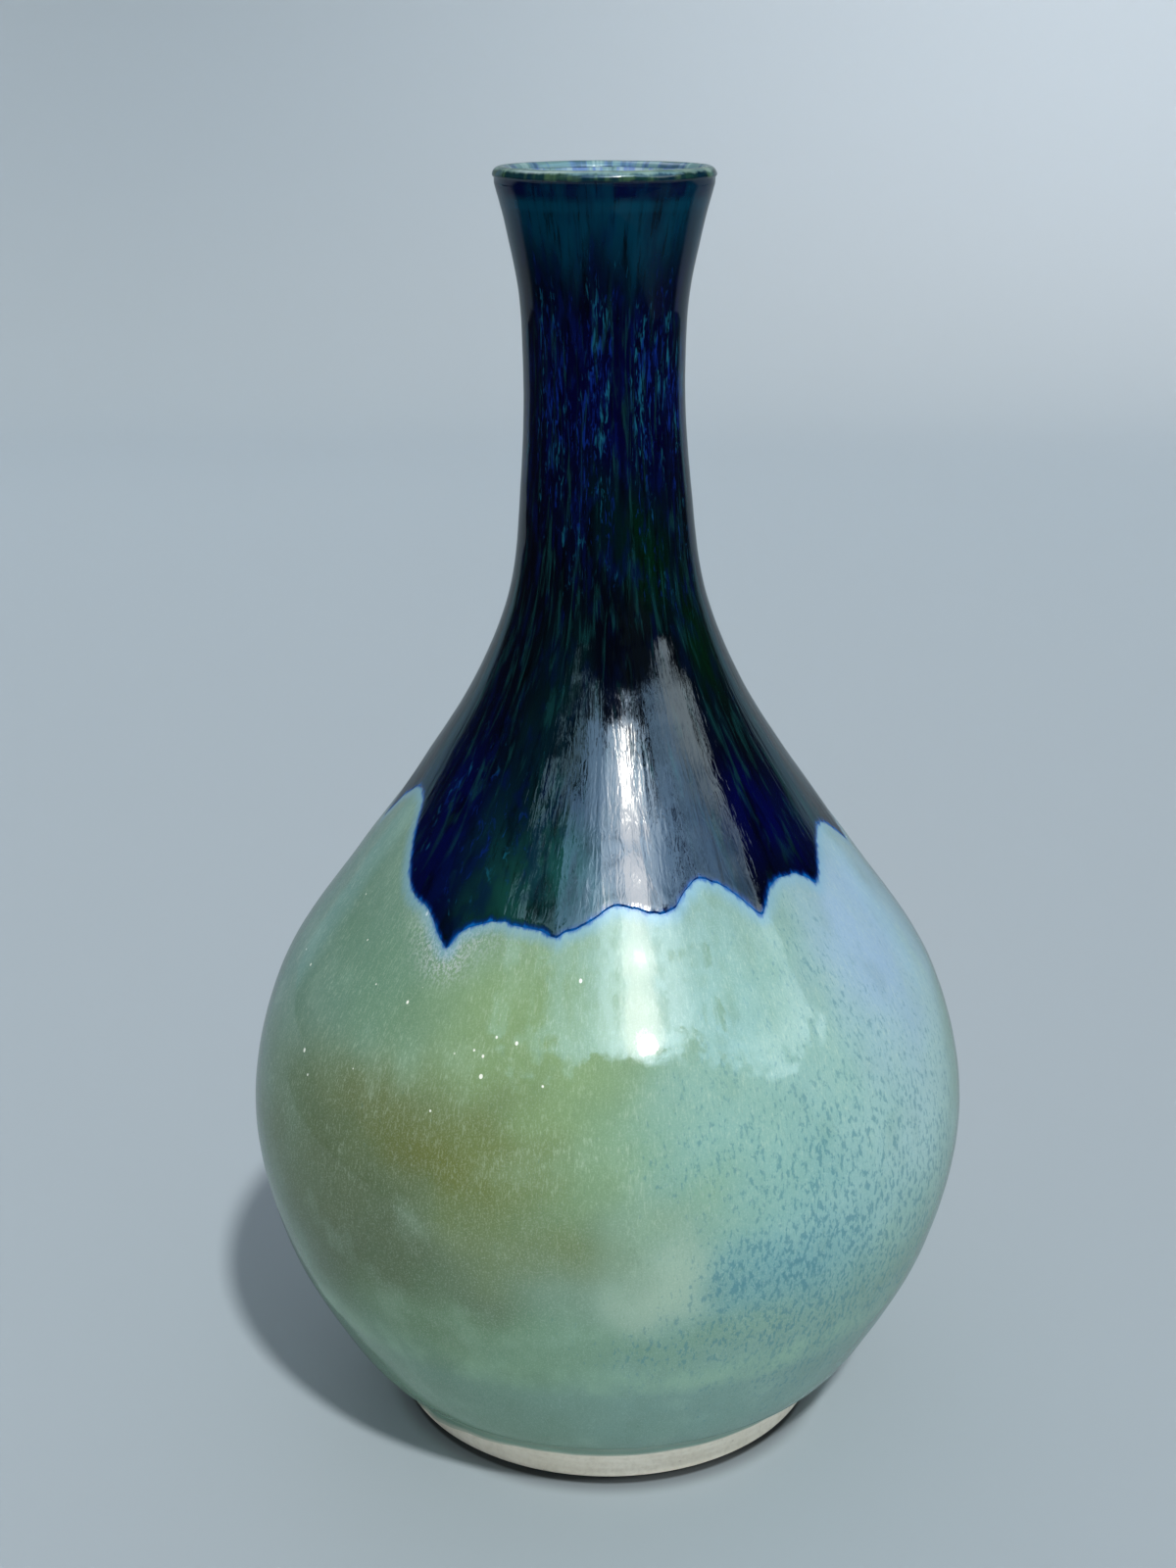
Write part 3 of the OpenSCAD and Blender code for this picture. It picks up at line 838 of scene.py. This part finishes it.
LENS = 49.9
VIEW_FROM = (0, -0.3365, 0.2212)
LOOK_DOWN, LOOK_LEFT, TILT = 18.64, 0.53, -0.15


def floor_paint():
    """Matt pale floor with a painted contact shadow where the foot meets it, painted bounce light for matt
    surfaces, and a look of its own, with painted shade, in the glazes' reflections.
    """
    s = new_material("floor_paint")
    coords = s.node("ShaderNodeTexCoord").outputs["Object"]
    where = s.node("ShaderNodeSeparateXYZ", {"Vector": coords}).outputs
    back = s.fade(where["Y"], 0.7, 1.6)
    colour = s.mix(back, shade(165, 177, 185), shade(143, 152, 157))
    right = s.math("MULTIPLY", back, s.fade(where["X"], -0.4, 0.45))
    colour = s.mix(right, colour, shade(190, 198, 204))

    # painted contact shadow: a soft dark ring on the floor round the foot, with a thin near-black line where
    # the foot touches it
    beside_foot = s.vector("ADD", coords, (0, FOOT_SHADOW, 0))
    from_foot = s.vector("LENGTH", beside_foot, output="Value")
    colour = s.mix(s.fade(from_foot, 0.0396, 0.0355, 0, 0.55), colour, shade(34, 40, 46))
    colour = s.mix(s.fade(from_foot, 0.0359, 0.0352, 0, 0.80), colour, shade(8, 10, 12))

    # what the glazes mirror: the floor with painted shade, 40 to 50 percent darker, and beyond the near floor a
    # painted shadow on the side of the camera, as if the camera and its holder shaded it
    away = s.vector("LENGTH", coords, output="Value")
    behind = s.math("DIVIDE", where["Y"], away)
    limit = s.fade(away, 0.13, 0.34, -1.1, 0.40)
    painted_camera_shadow = s.fade(s.math("SUBTRACT", behind, limit), 0.08, -0.08)
    mirrored_with_painted_shade = s.mix(s.fade(away, 0.13, 0.25, 0.4, 0.50), colour, (0, 0.02, 0.02, 1))
    mirrored_with_painted_shade = s.mix(painted_camera_shadow, mirrored_with_painted_shade, shade(14, 18, 22))

    ray = s.node("ShaderNodeLightPath").outputs
    # painted bounce light: to diffuse rays the floor is paler than it looks, so it lights the vase's lower body
    # more
    colour = s.mix(ray["Is Diffuse Ray"], colour, (0.68, 0.73, 0.77, 1))
    colour = s.mix(ray["Is Glossy Ray"], colour, mirrored_with_painted_shade)
    return s.finish(colour, 0.45, ior=1.3)


def sheet(name, near, far, left, right, paint_on, reflected):
    """Strip of the floor from near to far, in metres; beyond BACK it curves up into a backdrop."""
    line = [(y, 0.0) for y in (near, min(far, BACK))]
    if far > BACK:
        bend_at = np.radians(np.linspace(0, 90, 25))[1:]
        line += [(BACK + SWEEP * math.sin(a), SWEEP * (1 - math.cos(a))) for a in bend_at]
        line.append((BACK + SWEEP, BACKDROP_TOP))
    points = [(x, y, z) for y, z in line for x in (left, right)]
    faces = [(2 * i, 2 * i + 1, 2 * i + 3, 2 * i + 2) for i in range(len(line) - 1)]
    mesh = bpy.data.meshes.new(name)
    mesh.from_pydata(points, [], faces)
    mesh.shade_smooth()
    mesh.materials.append(paint_on)
    strip = bpy.data.objects.new(name, mesh)
    strip.visible_glossy = reflected
    bpy.context.collection.objects.link(strip)


def floor_and_sweep():
    """Pale floor and backdrop. The glazes reflect only the middle of it, as if it were a table."""
    paint_on = floor_paint()
    sheet("floor", TABLE_FRONT, 2 * BACK, -TABLE_SIDE, TABLE_SIDE, paint_on, True)
    sheet("floor_front", -ROOM, TABLE_FRONT, -TABLE_SIDE, TABLE_SIDE, paint_on, False)
    sheet("floor_left", -ROOM, 2 * BACK, -ROOM, -TABLE_SIDE, paint_on, False)
    sheet("floor_right", -ROOM, 2 * BACK, TABLE_SIDE, ROOM, paint_on, False)


def towards(azimuth, elevation):
    """Unit vector from the vase towards a point of the sky."""
    a, e = math.radians(azimuth), math.radians(elevation)
    return Vector((math.cos(e) * math.sin(a), -math.cos(e) * math.cos(a), math.sin(e)))


def sun():
    """The main light, high at the front right."""
    light = bpy.data.lights.new("key", "SUN")
    light.energy = 2.5
    light.angle = math.radians(4)
    light.color = (1.0, 0.98, 0.95)
    key = bpy.data.objects.new("key", light)
    key.rotation_euler = towards(*SUN_AT).to_track_quat("Z", "Y").to_euler()
    key.visible_glossy = False
    bpy.context.collection.objects.link(key)


def surroundings():
    """Even soft light for matt surfaces, and a large soft window for the glazes to reflect."""
    world = bpy.data.worlds.new("studio")
    s = Shader(world)
    ray = s.node("ShaderNodeTexCoord").outputs["Generated"]

    def lobe(azimuth, elevation, inside, outside, ragged=0.0):
        """1 within an angle of the direction, 0 beyond another, in degrees."""
        cosine = s.vector("DOT_PRODUCT", ray, towards(azimuth, elevation), output="Value")
        cosine = s.math("ADD", cosine, ragged)
        return s.fade(cosine, math.cos(math.radians(outside)), math.cos(math.radians(inside)))

    # the window's own light, brightest in the middle, and its uneven outline
    level = s.node("ShaderNodeSeparateXYZ", {"Vector": ray}).outputs
    leafy = s.noise(s.scaled(ray, 9.0), 5, 0.65)
    ragged = s.math("MULTIPLY", s.math("SUBTRACT", leafy, 0.5), 0.5)
    broken = s.fade(leafy, 0.36, 0.58, 0.35, 1.0)
    low = s.mix(s.fade(level["Z"], 0.66, 0.50), (0.8, 1.7, 2.8, 1), (2.8, 3.5, 3.9, 1))
    window = s.mix(lobe(20, 46, 8, 38), low, (2.8, 4.6, 6.6, 1))
    window = s.mix(lobe(18, 48, 4, 18), window, (8.4, 11.2, 13.8, 1))
    window = s.mix(broken, (0.3, 0.6, 0.8, 1), window)
    opening = s.math("MULTIPLY", lobe(44, 62, 41, 45, ragged), lobe(173, 50, 86.5, 90.5, ragged))

    # dark room, paler behind the vase; a dim pane left of the window; the window, with a notch at its foot
    rear = s.math("MULTIPLY", s.fade(level["Y"], 0.62, 0.74), s.fade(level["Z"], 0.6, 0.4))
    reflected = s.mix(rear, (0.018, 0.022, 0.028, 1), (0.22, 0.38, 0.46, 1))
    beside = s.mix(broken, (0.05, 0.10, 0.12, 1), (1.1, 1.9, 2.3, 1))
    reflected = s.mix(lobe(-27, 53, 6, 19, ragged), reflected, beside)
    reflected = s.mix(opening, reflected, window)
    reflected = s.mix(lobe(33, 22, 14.5, 16.5, ragged), reflected, (0.05, 0.08, 0.07, 1))

    # the sun's glare in the window, and a second dim window behind the vase
    reflected = s.mix(lobe(15.5, 45.5, 1, 8), reflected, (14, 15, 16, 1))
    reflected = s.mix(lobe(16, 43.4, 0.8, 3.4), reflected, (62, 62, 58, 1))
    reflected = s.mix(lobe(-146, 56, 8, 26), reflected, (1.9, 2.1, 2.4, 1))

    seen_by = s.node("ShaderNodeLightPath").outputs
    light = s.mix(seen_by["Is Glossy Ray"], (0.36, 0.37, 0.39, 1), reflected)
    light = s.mix(seen_by["Is Camera Ray"], light, (0.50, 0.53, 0.56, 1))
    background = s.node("ShaderNodeBackground", {"Color": light}).outputs[0]
    s.node("ShaderNodeOutputWorld", {"Surface": background})
    bpy.context.scene.world = world


def camera():
    """Camera at the photograph's viewing angle."""
    lens = bpy.data.cameras.new("camera")
    lens.lens = LENS
    lens.clip_start = 0.01
    view = bpy.data.objects.new("camera", lens)
    turn = (Matrix.Rotation(math.radians(LOOK_LEFT), 4, "Z")
            @ Matrix.Rotation(math.radians(90 - LOOK_DOWN), 4, "X")
            @ Matrix.Rotation(math.radians(TILT), 4, "Z"))
    view.matrix_world = Matrix.Translation(VIEW_FROM) @ turn
    bpy.context.collection.objects.link(view)
    bpy.context.scene.camera = view


camera()
floor_and_sweep()
sun()
surroundings()
bpy.context.scene.view_settings.view_transform = "Standard"

for piece, node, slot, material in (
    (clay_body(), "clay_body", "bare_clay", bare_clay_material()),
    (base_coat(), "base_glaze", "celadon_glaze", base_glaze_material()),
    (over_coat(), "cobalt_glaze", "cobalt_glaze", over_glaze_material()),
    (liner_coat(), "liner_glaze", "liner_glaze", liner_glaze_material()),
    (lip_coat(), "lip_glaze", "lip_glaze", lip_glaze_material()),
):
    piece.data.materials.append(material)
    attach(piece, "root")
    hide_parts(node)

bpy.context.view_layer.update()
